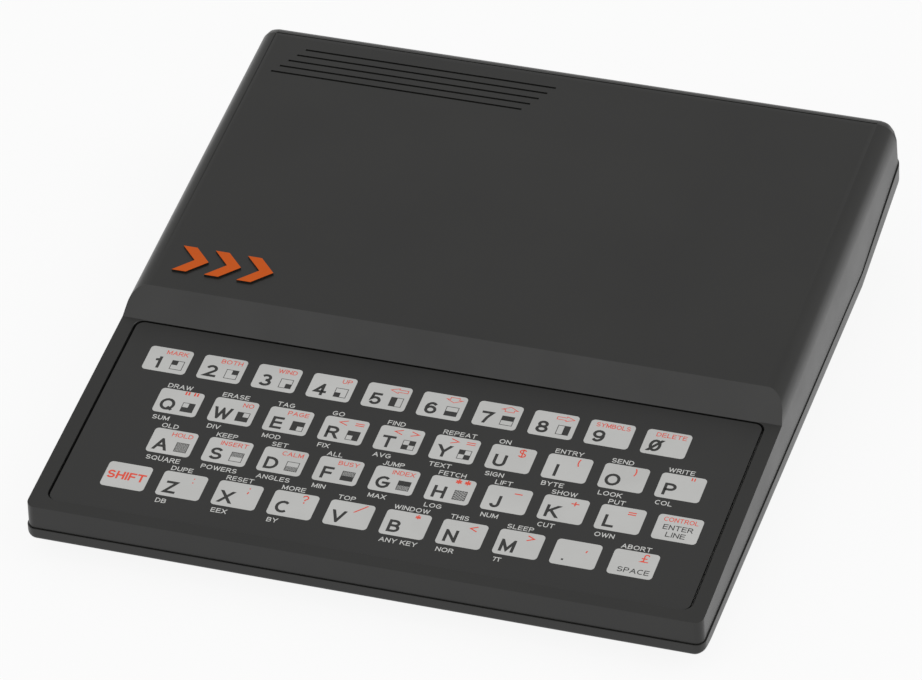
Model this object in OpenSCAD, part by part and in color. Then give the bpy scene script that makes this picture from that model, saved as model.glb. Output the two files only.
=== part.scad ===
// Early home computer: a wedge-shaped two-part plastic case with a flat forty-pad keyboard,
// one circuit board inside, sockets on the left side and a card edge at the back.
// Millimetres. +X right, +Y to the back, +Z up. Origin: middle of the footprint, on the table.

/* [Case] */
// Overall width, across the seam rim
case_w = 167; // [155:1:205]
// Overall depth, from front rim to rear rim
case_d = 175; // [165:1:215]
// Wall thickness of both shells
wall = 2; // [1.6:0.1:2.4]
// Height of the deck's front edge above the table
deck_z = 14.5; // [13.5:0.5:18]
// Slope of the deck and of the raised rear part, in degrees
tilt = 6.6; // [5:0.1:7]
// Length of the deck, from its front edge to the foot of the band
deck_len = 67.5; // [67.5:0.5:81]
// Height of the raised rear part above the deck
hump_h = 5.8; // [5.4:0.1:8]
// Slope of the band that rises from the deck, measured from the deck
band_slope = 42.5; // [35:0.5:75]
// Lean of the raised part's side walls, from upright, in degrees
hump_lean = 13; // [2:1:20]
// Radius along the raised part's side edges
side_edge_r = 3.6; // [3:0.1:5]
// Radius along its rear edge
rear_edge_r = 4.5; // [3:0.5:7]
// Plan radius of the two rear corners
rear_r = 3.5; // [3:0.5:9]
// Plan radius of the two front corners
front_r = 2.5; // [2.5:0.5:5]
// Draft of the side walls, in degrees
draft = 1.2; // [1:0.1:4]
// Rake of the rear wall, in degrees
rear_rake = 5.5; // [4:0.5:20]

/* [Seam and lower shell] */
// Height of the seam at the front
seam_front_z = 8.2; // [7:0.1:9]
// Height of the seam at its kink
seam_kink_z = 17.6; // [15:0.1:19]
// Distance of the kink from the rear rim
kink_back = 37.5; // [25:0.5:45]
// Height of the seam at the rear
seam_rear_z = 27.8; // [24:0.1:29]
// Gap between the shells along the seam
seam_gap = 0.2; // [0.1:0.1:0.5]
// Height of the rim's lower edge at the front
edge_front_z = 5.4; // [5:0.1:7]
// Height of the rim's lower edge at the kink
edge_kink_z = 13.8; // [12.5:0.1:15.5]
// Height of the rim's lower edge at the rear
edge_rear_z = 22.7; // [20:0.1:25]
// How far the rim stands out past the upper shell at the front and rear
rim_out = 0.4; // [0.2:0.1:0.8]
// How far it stands out at the sides
side_out = 0.2; // [0.2:0.1:0.8]
// How far the upper shell's lip reaches below the seam
lip_h = 1; // [0.6:0.1:1.5]
// Thickness of that lip
lip_t = 0.85; // [0.6:0.05:1]
// Clearance round that lip
lip_gap = 0.2; // [0.1:0.05:0.4]
// Undercut of the lower shell's sides, from upright, in degrees
undercut = 28; // [20:1:32]
// Length of the sloped underside at the front
nose_len = 12.5; // [10:0.5:16]
// Height of the rubber feet
foot_h = 1.5; // [1:0.1:2]
// Diameter of the rubber feet
foot_d = 12; // [10:0.5:13]

/* [Keyboard] */
// Distance between pad columns
key_pitch = 13.9; // [13.5:0.1:14.1]
// Distance between pad rows
row_pitch = 13.4; // [12:0.1:13.6]
// Distance from the deck's front edge to the top row's middle
top_row = 55.5; // [54:0.5:57]
// Middle of the top row's first pad, left of the case's middle
first_pad = 67; // [66:0.5:68]
// Width of a pad
pad_w = 11; // [9:0.1:12]
// Depth of a pad
pad_d = 8.3; // [7:0.1:9]
// Corner radius of a pad
pad_r = 1; // [0.6:0.1:2]
// Thickness of a pad
pad_t = 0.6; // [0.5:0.05:0.65]
// Travel of a pad
pad_travel = 0.3; // [0.2:0.05:0.35]
// Diameter of the raised contact under a pad
contact_d = 5; // [3:0.5:6]
// Clearance left between a pressed pad and its contact
contact_gap = 0.05; // [0.02:0.01:0.08]
// Clearance round a pad
pad_gap = 0.12; // [0.08:0.02:0.2]
// Width of the printed overlay
overlay_w = 157.4; // [154:0.2:158]
// Distance from the deck's front edge to the overlay
overlay_front = 3.7; // [3.5:0.1:5]
// Corner radius of the overlay
overlay_r = 2; // [1:0.5:4]
// Thickness of the overlay
overlay_t = 0.7; // [0.7:0.05:0.9]
// Thickness of the spacer under the overlay
spacer_t = 0.5; // [0.4:0.05:0.8]
// Thickness of the switch circuit under the spacer
circuit_t = 0.5; // [0.4:0.05:0.8]
// How far the overlay lies below the deck
overlay_drop = 0.25; // [0.1:0.05:0.5]
// Gap round the overlay in its recess
recess_gap = 0.5; // [0.4:0.1:1]
// Thickness of the floor under the keyboard
recess_floor = 1.5; // [1.2:0.1:2]

/* [Circuit board] */
// Width of the board
board_w = 140; // [134:1:144]
// Depth of the board, without its rear tongue
board_d = 92; // [88:1:93]
// Thickness of the board
board_t = 1.6; // [1.2:0.1:2]
// Height of the board's underside above the table
board_z = 8; // [7.5:0.1:8.5]
// Distance from the rear rim to the board's rear corners
board_back = 12.5; // [12.5:0.5:14]
// Width of the card edge on the board's tongue
edge_w = 66; // [50:1:70]
// Middle of the card edge, right of the case's middle
edge_x = 8; // [0:1:12]
// Distance from the rear rim to the end of the card edge
edge_back = 1.6; // [1.5:0.1:3]
// Clearance on each side of the card edge
slot_side = 3; // [2:0.5:5]
// Space under the card edge in its slot
slot_under = 3.4; // [2:0.1:3.8]

/* [Sockets] */
// Height of the sockets' middles above the board
port_h = 5.9; // [5.6:0.1:6.2]
// Distance from the rear rim to the aerial socket's middle
tv_back = 25.5; // [24:0.5:27]
// Distances from the rear rim to the three jack sockets' middles
jack_back = [43.5, 55.5, 67.5];
// Bore of a jack socket
jack_bore = 3.6; // [3.55:0.01:3.7]
// Depth of a jack socket's bore
jack_depth = 14; // [12:0.5:15]
// Outer diameter of a jack socket's nose
jack_nose_d = 6; // [5.5:0.1:6.5]
// Outer diameter of the aerial socket's sleeve
tv_sleeve_d = 8.2; // [8:0.1:8.4]
// Bore of the aerial socket's sleeve
tv_sleeve_bore = 6.4; // [6:0.1:6.6]
// Bore of the aerial socket's centre contact
tv_contact_bore = 3.2; // [3:0.1:3.4]
// Clearance round a socket in the port plate
port_gap = 0.5; // [0.3:0.1:1]
// Clearance round the aerial plug in the port plate
plug_gap = 1.7; // [1:0.1:2]
// Depth of the socket bay, from the rim to the port plate
bay_depth = 6; // [5:0.5:7]

/* [Fasteners] */
// Shank diameter of the self-tapping screws
screw_d = 2.9; // [2.5:0.1:3.2]
// Shank length of the screws
screw_len = 8; // [7:0.5:8.5]
// Head diameter of the screws
head_d = 5.6; // [5:0.1:6]
// Head height of the screws
head_h = 2; // [1.6:0.1:2.1]
// Radial clearance of a shank in its boss
shank_gap = 0.05; // [0.03:0.01:0.08]
// Clearance round a screw head
head_gap = 0.3; // [0.2:0.1:0.5]
// Outer diameter of the screw bosses
boss_d = 7; // [6:0.5:8]

/* [Hidden] */
ROWS = 4;
COLUMNS = 10;
row_shift = [0, 7.5, 10.7, 4];
LEGENDS = [
    ["1", "2", "3", "4", "5", "6", "7", "8", "9", "0"],
    ["q", "w", "e", "r", "t", "y", "u", "i", "o", "p"],
    ["a", "s", "d", "f", "g", "h", "j", "k", "l", "enter"],
    ["shift", "z", "x", "c", "v", "b", "n", "m", "period", "space"]
];
function pad_name(row, col) = str("key_", LEGENDS[row][col]);

$fn = 48;
OVER = 1;       // overshoot of a cutting shape
TINY = 0.02;    // keeps a cutting face from lying exactly in a wall
FAR = 300;      // longer than anything here

// ---- places in the sloped frame of the deck

// the deck's own frame: X right, Y up the slope from the front edge, Z out of the deck
front_y = -case_d / 2 + rim_out;
module on_deck() {
    translate([0, front_y, deck_z]) rotate([tilt, 0, 0]) children();
}
// a point of that frame's Y and Z, in the table's Y and Z
function from_deck(y, z) = [
    front_y + y * cos(tilt) - z * sin(tilt),
    deck_z + y * sin(tilt) + z * cos(tilt)
];
// how far a table point lies above the deck's plane
function above_deck(y, z) = -(y - front_y) * sin(tilt) + (z - deck_z) * cos(tilt);

// ---- outlines: straight edges, an inset copy, rounded vertices

function cross2(a, b) = a[0] * b[1] - a[1] * b[0];
// where the lines p-q and r-s meet
function meet(p, q, r, s) = p + (q - p) * cross2(r - p, s - r) / cross2(q - p, s - r);
// the inward normal of the edge p-q of an anticlockwise outline
function inward(p, q) = [p[1] - q[1], q[0] - p[0]] / norm(q - p);
// an anticlockwise outline with edge i moved inwards by w[i]
function inset(pts, w) = let (n = len(pts)) [
    for (i = [0 : n - 1])
        let (
            a = pts[(i + n - 1) % n], b = pts[i], c = pts[(i + 1) % n],
            u = inward(a, b) * w[(i + n - 1) % n], v = inward(b, c) * w[i]
        )
        meet(a + u, b + u, b + v, c + v)
];
function same(n, w) = [for (i = [1 : n]) w];
// an outline with each vertex i rounded to radius r[i], as arcs of ARC steps
ARC = 10;
function rounded(pts, r) = let (n = len(pts)) [
    for (i = [0 : n - 1])
        let (
            a = pts[(i + n - 1) % n], b = pts[i], c = pts[(i + 1) % n],
            u = (a - b) / norm(a - b), v = (c - b) / norm(c - b),
            half = acos(u * v) / 2,
            mid = b + (u + v) / norm(u + v) * r[i] / sin(half),
            from = b + u * r[i] / tan(half) - mid,
            turn = (180 - 2 * half) * sign(cross2(b - a, c - b))
        )
        for (k = [0 : r[i] > 0 ? ARC : 0])
            let (t = r[i] > 0 ? turn * k / ARC : 0)
            r[i] > 0
                ? mid + [from[0] * cos(t) - from[1] * sin(t), from[0] * sin(t) + from[1] * cos(t)]
                : b
];
// an outline in Y and Z, as a solid along X
module along_x(pts, width) {
    rotate([90, 0, 90]) translate([0, 0, -width / 2]) linear_extrude(width) polygon(pts);
}
// an outline in X and Z, as a solid along Y from y0 to y1
module along_y(pts, y0, y1) {
    translate([0, y1, 0]) rotate([90, 0, 0]) linear_extrude(y1 - y0) polygon(pts);
}
// a flat plate with rounded corners, its lower left corner at the origin
module round_plate(w, d, t, r) {
    linear_extrude(t) union() {
        translate([r, 0]) square([w - 2 * r, d]);
        translate([0, r]) square([w, d - 2 * r]);
        for (x = [r, w - r]) for (y = [r, d - r]) translate([x, y]) circle(r);
    }
}

// ---- the seam

rear_y = case_d / 2;
kink_y = rear_y - kink_back;
// everything below the seam line raised by up
module below_seam(up) {
    along_x([
        [-FAR, -FAR], [FAR, -FAR], [FAR, seam_rear_z + up], [rear_y, seam_rear_z + up],
        [kink_y, seam_kink_z + up], [-rear_y, seam_front_z + up], [-FAR, seam_front_z + up]
    ], FAR);
}

// ---- the upper shell's form

kb_stack = overlay_drop + overlay_t + spacer_t + circuit_t;
overlay_end = deck_len - 0.4 - recess_gap;
overlay_d = overlay_end - overlay_front;
// half width of the upper shell at the deck's plane
deck_half = case_w / 2 - side_out + above_deck(kink_y, seam_kink_z) * tan(draft);
// the rear wall: its foot on the seam, its lean in the deck's frame, and where it meets the deck's plane
wall_rear = rear_y - rim_out;
rear_lean = rear_rake - tilt;
rear_run = (wall_rear - front_y) * cos(tilt) + (seam_rear_z - deck_z) * sin(tilt)
    + above_deck(wall_rear, seam_rear_z) * tan(rear_lean);
// side profile in Y and Z, anticlockwise from the front foot
upper_profile = let (
    h0 = from_deck(0, hump_h),
    h1 = from_deck(1, hump_h),
    r0 = [wall_rear, seam_rear_z],
    r1 = [wall_rear - sin(rear_rake), seam_rear_z + cos(rear_rake)]
) [
    [front_y, -OVER], [wall_rear + (seam_rear_z + OVER) * tan(rear_rake), -OVER],
    meet(h0, h1, r0, r1),
    from_deck(deck_len + hump_h / tan(band_slope), hump_h),
    from_deck(deck_len, 0),
    [front_y, deck_z]
];
deck_wall = kb_stack + recess_floor;
section_low = -40;
// cross section in X and Z of the deck's frame, anticlockwise
upper_section = [
    [-deck_half + section_low * tan(draft), section_low],
    [deck_half - section_low * tan(draft), section_low],
    [deck_half, 0],
    [deck_half - hump_h * tan(hump_lean), hump_h],
    [-deck_half + hump_h * tan(hump_lean), hump_h],
    [-deck_half, 0]
];

// the upper shell's outer form, with every face moved inwards by w
module upper_form(w) {
    profile = inset(upper_profile, [0, w, w, w, w > 0 ? deck_wall : 0, w]);
    section = inset(upper_section, [0, w, w, w, w, w]);
    r = min(side_edge_r, hump_h) - w;
    intersection() {
        along_x(rounded(profile, [0, 0, rear_edge_r - w, 0, 0, 0]), case_w);
        on_deck() along_y(rounded(section, [0, 0, 0, r, r, 0]), -FAR, FAR);
        upper_corners(w);
    }
}
// a large block whose four upright corners are rounded along the drafted walls
module upper_corners(w) {
    x = deck_half - TINY;
    difference() {
        translate([-FAR / 2, -FAR / 2, -FAR / 2]) cube(FAR);
        for (side = [0, 1]) mirror([side, 0, 0]) {
            on_deck() translate([x - rear_r / cos(draft), rear_run - rear_r / cos(rear_lean) - TINY, 0])
                rotate([rear_lean, -draft, 0]) corner_cutter(rear_r - w);
            translate([x - front_r / cos(draft), front_y + front_r + TINY, deck_z])
                mirror([0, 1, 0]) rotate([0, -draft, 0]) corner_cutter(front_r - w);
        }
    }
}
module corner_cutter(r) {
    difference() {
        translate([0, 0, -50]) cube([r + 12, r + 12, 100]);
        translate([0, 0, -51]) cylinder(h = 102, r = r);
    }
}

// ---- the lower shell's form

floor_z = foot_h;
rim_half = case_w / 2;
// side profile in Y and Z, anticlockwise from the front of the flat floor
lower_profile = [
    [-rear_y + nose_len, floor_z], [rear_y - 1.5, floor_z],
    [rear_y, edge_rear_z], [rear_y, 60], [-rear_y, 60], [-rear_y, edge_front_z]
];
// cross section in X and Z where the rim's lower edge is at height z
function lower_section(z) = let (b = rim_half - (z - floor_z) * tan(undercut)) [
    [-b, floor_z], [b, floor_z], [rim_half, z], [rim_half, 60], [-rim_half, 60], [-rim_half, z]
];
module lower_slice(y, z, w) {
    along_y(inset(lower_section(z), same(6, w)), y, y + TINY);
}
plan = [[-rim_half, -rear_y], [rim_half, -rear_y], [rim_half, rear_y], [-rim_half, rear_y]];
// the lower shell's outer form, with every face moved inwards by w
module lower_form(w) {
    r_front = front_r + rim_out - w;
    r_rear = rear_r + rim_out - w;
    intersection() {
        union() {
            hull() {
                lower_slice(-rear_y, edge_front_z, w);
                lower_slice(kink_y, edge_kink_z, w);
            }
            hull() {
                lower_slice(kink_y, edge_kink_z, w);
                lower_slice(rear_y - TINY, edge_rear_z, w);
            }
        }
        along_x(inset(lower_profile, same(6, w)), FAR);
        linear_extrude(100, center = true)
            polygon(rounded(inset(plan, same(4, w)), [r_front, r_front, r_rear, r_rear]));
    }
}

// ---- places of what fits together

board_top = board_z + board_t;
board_rear = rear_y - board_back;
board_front = board_rear - board_d;
edge_end = rear_y - edge_back;
port_z = board_top + port_h;
tv_y = rear_y - tv_back;
jack_y = [for (b = jack_back) rear_y - b];
plate_x = -rim_half + bay_depth;
plate_t = wall;
bay_y0 = jack_y[2] - 8;
bay_y1 = tv_y + 11;
bay_z0 = board_top;
bay_z1 = port_z + 6.1;
liner_t = 1.5;
// the floor and ceiling screws, as [x, y]
foot_y = [-rear_y + 21.5, rear_y - 8.5];
foot_x = [rim_half - 17.5, rim_half - 21.5];
mid_screw_gap = 13.4;
case_screws = [
    [-foot_x[0], foot_y[0]], [foot_x[0] - 16, foot_y[0]], [-5, board_front - mid_screw_gap],
    [-foot_x[1], foot_y[1]], [foot_x[1], foot_y[1]]
];
board_screws = [[-14, board_rear - 33], [65, board_rear - 36]];
shank_z = floor_z + head_h + 0.3;
low_boss_top = shank_z + 2.3;
boss_gap = 0.1;
tip_gap = 0.6;

// ---- upper case

module keyboard_recess() {
    on_deck() translate([-overlay_w / 2 - recess_gap, overlay_front - 0.1, -kb_stack])
        round_plate(overlay_w + 2 * recess_gap, overlay_d + 0.1 + recess_gap, kb_stack + 5,
            overlay_r + recess_gap);
}
// slot in the recess's floor for a ribbon of width w at x
ribbon_x = [-50, -24];
ribbon_w = [13, 20];
ribbon_run = deck_len - 4;
module ribbon_slots() {
    for (i = [0, 1]) on_deck()
        translate([ribbon_x[i] - ribbon_w[i] / 2 - 0.8, ribbon_run - 0.8, -kb_stack - recess_floor - OVER])
            cube([ribbon_w[i] + 1.6, 1.6, recess_floor + OVER + 0.01]);
}
// the slot over the card edge, from height z0 up
module slot_box(z0) {
    translate([edge_x - edge_w / 2 - slot_side, rear_y - 12, z0])
        cube([edge_w + 2 * slot_side, 20, 60]);
}
module bay_box(x1, y_out, z0, z1) {
    translate([-rim_half - OVER, bay_y0 - y_out, z0])
        cube([x1 + rim_half + OVER, bay_y1 - bay_y0 + 2 * y_out, z1 - z0]);
}
badge_x = -deck_half + 8.9;
badge_run = deck_len + hump_h / tan(band_slope) + 6.1;
badge_size = 8.8;
badge_high = 0.5;
// three raised chevrons on the front left of the raised part
module badge() {
    stroke = 3.6;
    step = 8.35;
    point = badge_size / 2;
    on_deck() for (i = [0 : 2])
        translate([badge_x + i * step, badge_run, hump_h - 0.3])
            linear_extrude(badge_high + 0.3) polygon([
                [0, 0], [stroke, 0], [stroke + point, point], [stroke, badge_size],
                [0, badge_size], [point, point]
            ]);
}
line_w = 0.6;
line_deep = 0.35;
// a group of fine engraved lines on the rear left of the raised part
module engraved_lines() {
    on_deck() for (i = [0 : 4])
        translate([-deck_half + 8.1 + i * 1.5, rear_run - 18.8 + i * 2.4, hump_h - line_deep])
            cube([66, line_w, 1]);
}
// how far in from the rim the seam's rebate lies, and from the upper wall's face its lip
rebate_in = wall - lip_t - lip_gap + rim_out / 2;
lip_in = wall - lip_t;
// what hangs under the upper shell's roof: a boss over each screw
module upper_bosses() {
    for (s = case_screws) translate([s[0], s[1], low_boss_top + boss_gap])
        cylinder(h = 60, d = boss_d);
    for (s = board_screws) translate([s[0], s[1], board_top + boss_gap])
        cylinder(h = 60, d = boss_d);
}
// the space that the upper shell leaves empty
module upper_space() {
    difference() {
        union() {
            difference() {
                upper_form(wall);
                bay_box(plate_x + plate_t, liner_t, 0, bay_z1 + boss_gap + liner_t);
            }
            below_seam(-lip_h);
            difference() {
                below_seam(seam_gap);
                upper_form(lip_in);
            }
            // no lip at the front, at the socket bay's ends and over the card edge
            intersection() {
                below_seam(seam_gap);
                union() {
                    translate([-FAR / 2, -FAR, 0]) cube([FAR, FAR - rear_y + nose_len, 60]);
                    bay_box(plate_x + plate_t, liner_t + lip_gap, 0, 60);
                    slot_box(0);
                }
            }
        }
        upper_bosses();
    }
}
module upper_case() {
    color([0.06, 0.06, 0.06]) {
        difference() {
            upper_form(0);
            upper_space();
            keyboard_recess();
            ribbon_slots();
            engraved_lines();
            bay_box(plate_x + plate_t + lip_gap, 0, 0, bay_z1 + boss_gap);
            for (s = case_screws) translate([s[0], s[1], 0])
                cylinder(h = shank_z + screw_len + tip_gap, r = screw_d / 2 + shank_gap);
            for (s = board_screws) translate([s[0], s[1], 0])
                cylinder(h = board_z + screw_len + tip_gap, r = screw_d / 2 + shank_gap);
        }
        badge();
    }
}

// ---- lower case

// what stands on the lower shell's floor: the screw bosses and the socket bay's walls
module lower_inside() {
    for (s = case_screws) translate([s[0], s[1], 0]) cylinder(h = low_boss_top, d = boss_d + 2);
    bay_box(plate_x + plate_t, liner_t, bay_z0 - liner_t, 60);
}
module lower_case() {
    color([0.05, 0.05, 0.05]) difference() {
        union() {
            intersection() {
                below_seam(0);
                difference() {
                    lower_form(0);
                    difference() {
                        lower_form(wall);
                        lower_inside();
                    }
                }
            }
            // the port plate stands up past the seam behind the bay
            translate([plate_x, bay_y0 + lip_gap, bay_z0 - OVER])
                cube([plate_t, bay_y1 - bay_y0 - 2 * lip_gap, bay_z1 - bay_z0 + OVER]);
        }
        // rebate for the upper shell's lip
        difference() {
            lower_form(rebate_in);
            below_seam(-lip_h - lip_gap);
            bay_box(plate_x + plate_t + OVER, liner_t, 0, 60);
            translate([-FAR / 2, -FAR, 0]) cube([FAR, FAR - rear_y + nose_len, 60]);
        }
        bay_box(plate_x, 0, bay_z0, 60);
        slot_box(board_z - slot_under);
        translate([0, tv_y, port_z]) port_hole(tv_sleeve_d / 2 + plug_gap);
        for (y = jack_y) translate([0, y, port_z]) port_hole(jack_nose_d / 2 + port_gap);
        for (s = case_screws) translate([s[0], s[1], 0]) {
            cylinder(h = shank_z, d = head_d + 2 * head_gap);
            cylinder(h = low_boss_top + OVER, d = screw_d + 2 * head_gap);
        }
    }
}
module port_hole(r) {
    translate([plate_x - OVER, 0, 0]) rotate([0, 90, 0]) cylinder(h = plate_t + 2 * OVER, r = r);
}

// ---- feet and screws

module rubber_feet() {
    color([0.12, 0.12, 0.12]) for (x = [-1, 1]) for (i = [0, 1])
        translate([x * foot_x[i], foot_y[i], 0]) cylinder(h = foot_h, d = foot_d);
}
// a pan-head screw that points up, the underside of its head at the origin
module screw() {
    translate([0, 0, -head_h]) difference() {
        cylinder(h = head_h, d = head_d);
        for (a = [0, 90]) rotate(a) translate([-head_d * 0.3, -0.35, -OVER])
            cube([head_d * 0.6, 0.7, OVER + 1]);
    }
    cylinder(h = screw_len - 1.2, d = screw_d);
    translate([0, 0, screw_len - 1.2]) cylinder(h = 1.2, d1 = screw_d, d2 = 1.2);
}
module screws() {
    color([0.75, 0.75, 0.72]) {
        for (s = case_screws) translate([s[0], s[1], shank_z]) screw();
        for (s = board_screws) translate([s[0], s[1], board_z]) screw();
    }
}

// ---- keyboard

function pad_x(row, col) = -first_pad + row_shift[row] + col * key_pitch;
function pad_run(row) = top_row - row * row_pitch;
module each_pad() {
    for (row = [0 : ROWS - 1]) for (col = [0 : COLUMNS - 1])
        translate([pad_x(row, col), pad_run(row), 0]) children();
}
// a plate of pad shape, bigger by grow all round, from height z0 to z1 over the deck
module pad_shape(grow, z0, z1) {
    translate([-pad_w / 2 - grow, -pad_d / 2 - grow, z0])
        round_plate(pad_w + 2 * grow, pad_d + 2 * grow, z1 - z0, pad_r + grow);
}
overlay_top = -overlay_drop;
spacer_top = overlay_top - overlay_t;
circuit_top = spacer_top - spacer_t;
contact_h = overlay_top - pad_t - pad_travel - contact_gap - circuit_top;
module keyboard_sheet(top, t) {
    on_deck() translate([-overlay_w / 2, overlay_front, top - t])
        round_plate(overlay_w, overlay_d, t, overlay_r);
}
module keyboard_overlay() {
    color([0.13, 0.13, 0.13]) difference() {
        keyboard_sheet(overlay_top, overlay_t);
        on_deck() each_pad() pad_shape(pad_gap, spacer_top - OVER, overlay_top + OVER);
    }
}
module keyboard_spacer() {
    color([0.85, 0.85, 0.8]) difference() {
        keyboard_sheet(spacer_top, spacer_t);
        on_deck() each_pad() pad_shape(pad_gap * 2, circuit_top - OVER, spacer_top + OVER);
    }
}
// one side of a bent strip, w to the left of its middle line
function strip_side(path, w) = let (n = len(path)) [
    for (i = [0 : n - 1])
        let (
            a = path[max(i - 1, 0)], b = path[i], c = path[min(i + 1, n - 1)],
            u = inward(i > 0 ? a : b, i > 0 ? b : c) * w,
            v = inward(i < n - 1 ? b : a, i < n - 1 ? c : b) * w
        )
        i == 0 || i == n - 1 ? b + u : meet(a + u, b + u, b + v, c + v)
];
// a bent strip of thickness t along points in Y and Z
module ribbon(path, w, t) {
    left = strip_side(path, t / 2);
    right = strip_side(path, -t / 2);
    along_x(concat(left, [for (i = [len(right) - 1 : -1 : 0]) right[i]]), w);
}
connector_y = board_front + 4.5;
connector_h = 6;
connector_t = 4;
tail_t = 0.3;
module keyboard_circuit() {
    top = from_deck(ribbon_run, circuit_top - circuit_t / 2);
    under = from_deck(ribbon_run, circuit_top - circuit_t - recess_floor - 0.8);
    color([0.8, 0.8, 0.75]) {
        keyboard_sheet(circuit_top, circuit_t);
        on_deck() each_pad() translate([0, 0, circuit_top - circuit_t / 2])
            cylinder(h = circuit_t / 2 + contact_h, d = contact_d);
        for (i = [0, 1]) translate([ribbon_x[i], 0, 0])
            ribbon([top, under, [connector_y, board_top + connector_h + 0.9],
                [connector_y, board_top + 1.5]], ribbon_w[i], tail_t);
    }
}
module key_pad(row, col) {
    color([0.72, 0.72, 0.7]) on_deck() translate([pad_x(row, col), pad_run(row), 0])
        pad_shape(0, overlay_top - pad_t, overlay_top);
}

// ---- circuit board

module circuit_board() {
    color([0.1, 0.3, 0.15]) difference() {
        union() {
            translate([-board_w / 2, board_front, board_z]) cube([board_w, board_d, board_t]);
            translate([edge_x - edge_w / 2, board_rear - OVER, board_z])
                cube([edge_w, edge_end - board_rear + OVER, board_t]);
        }
        for (s = board_screws) translate([s[0], s[1], board_z - OVER])
            cylinder(h = board_t + 2 * OVER, d = screw_d + 0.6);
        // keying slot of the card edge
        translate([edge_x - edge_w / 2 + 5, edge_end - 7, board_z - OVER])
            cube([1.2, 8, board_t + 2 * OVER]);
    }
}
module ribbon_connectors() {
    color([0.9, 0.9, 0.85]) for (i = [0, 1]) translate([ribbon_x[i], connector_y, board_top])
        difference() {
            translate([-ribbon_w[i] / 2 - 2, -connector_t / 2, 0])
                cube([ribbon_w[i] + 4, connector_t, connector_h]);
            translate([-ribbon_w[i] / 2 - 0.5, -0.35, 1]) cube([ribbon_w[i] + 1, 0.7, connector_h]);
        }
}
// a place on the board's top, from the middle of its front edge
module on_board(x, y) {
    translate([x, board_front + y, board_top]) children();
}
// chips as [x, y on the board, number of legs]
logic_array = [-30, 20, 40];
processor = [35, 34, 40];
rom_chip = [-10, 38, 24];
ram_chip = [-35, 57, 24];
socket_h = 4;
leg_pitch = 2.54;
chip_w = 13.4;
chip_h = 3.6;
chip_lift = 0.6;
leg_out = 0.9;
leg_t = 0.3;
function chip_len(c) = c[2] / 2 * leg_pitch;
module chip(c) {
    l = chip_len(c);
    on_board(c[0], c[1]) translate([0, 0, socket_h]) {
        translate([0, 0, chip_lift]) difference() {
            translate([-l / 2, -chip_w / 2, 0]) cube([l, chip_w, chip_h]);
            translate([-l / 2, 0, chip_h - 1]) cylinder(h = 2, r = 1.4);
        }
        for (i = [0 : c[2] / 2 - 1]) for (side = [0, 1])
            translate([(i + 0.5) * leg_pitch - l / 2, 0, 0]) mirror([0, side, 0]) chip_leg();
    }
}
module chip_leg() {
    knee = chip_lift + chip_h / 2;
    translate([-0.7, chip_w / 2 - 0.2, knee - leg_t]) cube([1.4, leg_out + 0.2, leg_t]);
    translate([-0.25, chip_w / 2 + leg_out - leg_t, 0]) cube([0.5, leg_t, knee]);
}
module ic_socket(c) {
    l = chip_len(c) + 0.6;
    w = chip_w + 4.2;
    rail = 4;
    on_board(c[0], c[1]) difference() {
        translate([-l / 2, -w / 2, 0]) cube([l, w, socket_h]);
        for (side = [0, 1]) mirror([side, 0, 0]) translate([rail / 2, rail - w / 2, -OVER])
            cube([l / 2 - 1.5 * rail, w - 2 * rail, socket_h + 2 * OVER]);
    }
}
module ic_sockets() {
    color([0.1, 0.1, 0.1]) for (c = [logic_array, processor, rom_chip, ram_chip]) ic_socket(c);
}
module processor_chip() {
    color([0.08, 0.08, 0.08]) chip(processor);
}
module logic_array_chip() {
    color([0.1, 0.1, 0.1]) chip(logic_array);
}
module memory_chips() {
    color([0.12, 0.12, 0.12]) {
        chip(rom_chip);
        chip(ram_chip);
    }
}

// ---- sockets on the left side

modulator_x0 = -board_w / 2 + 0.5;
modulator_l = 44;
modulator_d = 22;
modulator_h = 12;
tv_sleeve_x = plate_x - 2;
module tv_modulator() {
    color([0.7, 0.7, 0.72]) {
        translate([modulator_x0, tv_y - modulator_d / 2, board_top])
            cube([modulator_l, modulator_d, modulator_h]);
        translate([0, tv_y, port_z]) difference() {
            union() {
                translate([tv_sleeve_x, 0, 0]) rotate([0, 90, 0])
                    cylinder(h = modulator_x0 - tv_sleeve_x + 0.5, d = tv_sleeve_d);
                translate([modulator_x0 - 1.2, 0, 0]) rotate([0, 90, 0]) cylinder(h = 1.5, d = 11);
            }
            translate([tv_sleeve_x - OVER, 0, 0]) rotate([0, 90, 0])
                cylinder(h = modulator_x0 - tv_sleeve_x - 1, d = tv_sleeve_bore);
        }
        translate([0, tv_y, port_z]) difference() {
            translate([tv_sleeve_x + 1, 0, 0]) rotate([0, 90, 0])
                cylinder(h = modulator_x0 - tv_sleeve_x - 1, d = tv_contact_bore + 1);
            translate([tv_sleeve_x, 0, 0]) rotate([0, 90, 0])
                cylinder(h = modulator_x0 - tv_sleeve_x - 3, d = tv_contact_bore);
        }
    }
}
jack_body_x = -board_w / 2 - 1.5;
jack_body = [13, 9, 11];
jack_nose_x = plate_x + 0.5;
module jack_sockets() {
    color([0.08, 0.08, 0.08]) for (y = jack_y) translate([0, y, 0]) difference() {
        union() {
            translate([jack_body_x, -jack_body[1] / 2, board_top]) cube(jack_body);
            translate([jack_nose_x, 0, port_z]) rotate([0, 90, 0])
                cylinder(h = jack_body_x - jack_nose_x + 1, d = jack_nose_d);
        }
        translate([jack_nose_x - OVER, 0, port_z]) rotate([0, 90, 0])
            cylinder(h = jack_depth + OVER, d = jack_bore);
    }
}

// ---- power parts

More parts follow.
